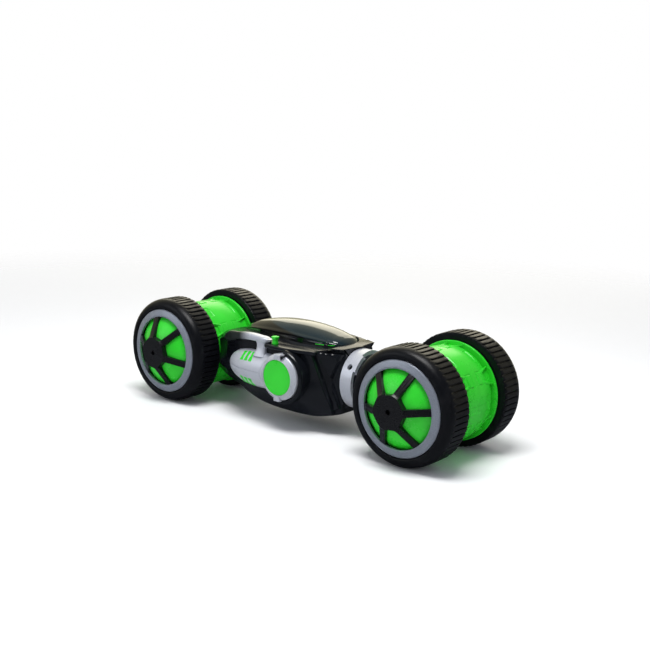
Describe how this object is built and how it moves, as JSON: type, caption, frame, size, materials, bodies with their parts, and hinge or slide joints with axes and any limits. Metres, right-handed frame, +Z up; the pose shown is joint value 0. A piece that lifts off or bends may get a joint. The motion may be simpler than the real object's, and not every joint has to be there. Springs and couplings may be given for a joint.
{
  "type": "rc stunt car",
  "caption": "Twist-body radio controlled stunt car: wide ribbed wheels on green drum housings, a black canopied body with silver side pods, and a motor-driven twisting neck.",
  "frame": {"origin": "on the ground, under the middle of the car's length and width", "axes": "+X forwards from the rear axle to the front axle, +Y to the car's left, +Z up"},
  "size_m": [0.418, 0.1512, 0.11],
  "materials": {
    "tyre_rubber": "moulded rubber, satin",
    "black_plastic": "satin black moulded plastic",
    "gloss_black": "high gloss black painted plastic",
    "bright_green": "bright green moulded plastic",
    "silver_paint": "silver metallic paint over plastic",
    "smoked_canopy": "smoked clear plastic, dark",
    "steel": "bright turned steel",
    "brass_bush": "sintered bronze",
    "white_nylon": "natural nylon gear",
    "motor_can": "zinc plated can",
    "board_green": "solder mask",
    "battery_wrap": "shrink wrap"
  },
  "bodies": {
    "root": {"upper_shell": "gloss_black", "lower_shell": "gloss_black", "canopy": "smoked_canopy", "left_pod": "silver_paint", "right_pod": "silver_paint", "left_side_rail": "silver_paint", "right_side_rail": "silver_paint", "pod_caps": "bright_green", "pod_slots": "bright_green", "peg": "bright_green", "battery_pack": "battery_wrap", "battery_door": "black_plastic", "circuit_board": "board_green", "switch_body": "black_plastic", "body_screws": "steel", "neck_bush": "brass_bush", "twist_motor": "motor_can", "rear_drum_upper": "bright_green", "rear_drum_lower": "bright_green", "rear_bushes": "brass_bush", "rear_left_motor": "motor_can", "rear_right_motor": "motor_can"},
    "front_axle": {"neck_tube": "gloss_black", "neck_collar": "silver_paint", "neck_gear": "white_nylon", "front_drum_upper": "bright_green", "front_drum_lower": "bright_green", "front_bushes": "brass_bush", "front_left_motor": "motor_can", "front_right_motor": "motor_can"},
    "front_left_wheel": {"front_left_tyre": "tyre_rubber", "front_left_rim": "black_plastic", "front_left_trim_ring": "silver_paint", "front_left_dome": "bright_green", "front_left_axle": "steel", "front_left_gear": "white_nylon"},
    "front_left_pinion_shaft": {"front_left_pinion": "steel"},
    "front_right_wheel": {"front_right_tyre": "tyre_rubber", "front_right_rim": "black_plastic", "front_right_trim_ring": "silver_paint", "front_right_dome": "bright_green", "front_right_axle": "steel", "front_right_gear": "white_nylon"},
    "front_right_pinion_shaft": {"front_right_pinion": "steel"},
    "rear_left_wheel": {"rear_left_tyre": "tyre_rubber", "rear_left_rim": "black_plastic", "rear_left_trim_ring": "silver_paint", "rear_left_dome": "bright_green", "rear_left_axle": "steel", "rear_left_gear": "white_nylon"},
    "rear_left_pinion_shaft": {"rear_left_pinion": "steel"},
    "rear_right_wheel": {"rear_right_tyre": "tyre_rubber", "rear_right_rim": "black_plastic", "rear_right_trim_ring": "silver_paint", "rear_right_dome": "bright_green", "rear_right_axle": "steel", "rear_right_gear": "white_nylon"},
    "rear_right_pinion_shaft": {"rear_right_pinion": "steel"},
    "twist_pinion_shaft": {"twist_pinion": "steel"},
    "power_switch": {"switch_slider": "black_plastic"}
  },
  "joints": [
    {"name": "neck_twist", "type": "hinge", "parent": "root", "child": "front_axle", "pos_m": [0.0622, 0, 0.055], "axis": [1, 0, 0], "range_deg": [-90, 90]},
    {"name": "front_left_wheel_spin", "type": "hinge", "parent": "front_axle", "child": "front_left_wheel", "pos_m": [0.154, 0.045, 0.055], "axis": [0, 1, 0], "continuous": true},
    {"name": "front_left_pinion_spin", "type": "hinge", "parent": "front_axle", "child": "front_left_pinion_shaft", "pos_m": [0.154, 0.021, 0.0782], "axis": [0, 1, 0], "continuous": true},
    {"name": "front_right_wheel_spin", "type": "hinge", "parent": "front_axle", "child": "front_right_wheel", "pos_m": [0.154, -0.045, 0.055], "axis": [0, 1, 0], "continuous": true},
    {"name": "front_right_pinion_spin", "type": "hinge", "parent": "front_axle", "child": "front_right_pinion_shaft", "pos_m": [0.154, -0.021, 0.0318], "axis": [0, 1, 0], "continuous": true},
    {"name": "rear_left_wheel_spin", "type": "hinge", "parent": "root", "child": "rear_left_wheel", "pos_m": [-0.154, 0.045, 0.055], "axis": [0, 1, 0], "continuous": true},
    {"name": "rear_left_pinion_spin", "type": "hinge", "parent": "root", "child": "rear_left_pinion_shaft", "pos_m": [-0.154, 0.021, 0.0782], "axis": [0, 1, 0], "continuous": true},
    {"name": "rear_right_wheel_spin", "type": "hinge", "parent": "root", "child": "rear_right_wheel", "pos_m": [-0.154, -0.045, 0.055], "axis": [0, 1, 0], "continuous": true},
    {"name": "rear_right_pinion_spin", "type": "hinge", "parent": "root", "child": "rear_right_pinion_shaft", "pos_m": [-0.154, -0.021, 0.0318], "axis": [0, 1, 0], "continuous": true},
    {"name": "twist_pinion_spin", "type": "hinge", "parent": "root", "child": "twist_pinion_shaft", "pos_m": [0.05, 0, 0.035], "axis": [1, 0, 0], "range_deg": [-361, 361]},
    {"name": "power_switch_slide", "type": "slide", "parent": "root", "child": "power_switch", "axis": [1, 0, 0], "range_m": [0, 0.004]}
  ],
  "couplings": [
    {"joint": "front_left_pinion_spin", "follows": "front_left_wheel_spin", "ratio": -4.8},
    {"joint": "front_right_pinion_spin", "follows": "front_right_wheel_spin", "ratio": -4.8},
    {"joint": "rear_left_pinion_spin", "follows": "rear_left_wheel_spin", "ratio": -4.8},
    {"joint": "rear_right_pinion_spin", "follows": "rear_right_wheel_spin", "ratio": -4.8},
    {"joint": "twist_pinion_spin", "follows": "neck_twist", "ratio": -4}
  ]
}
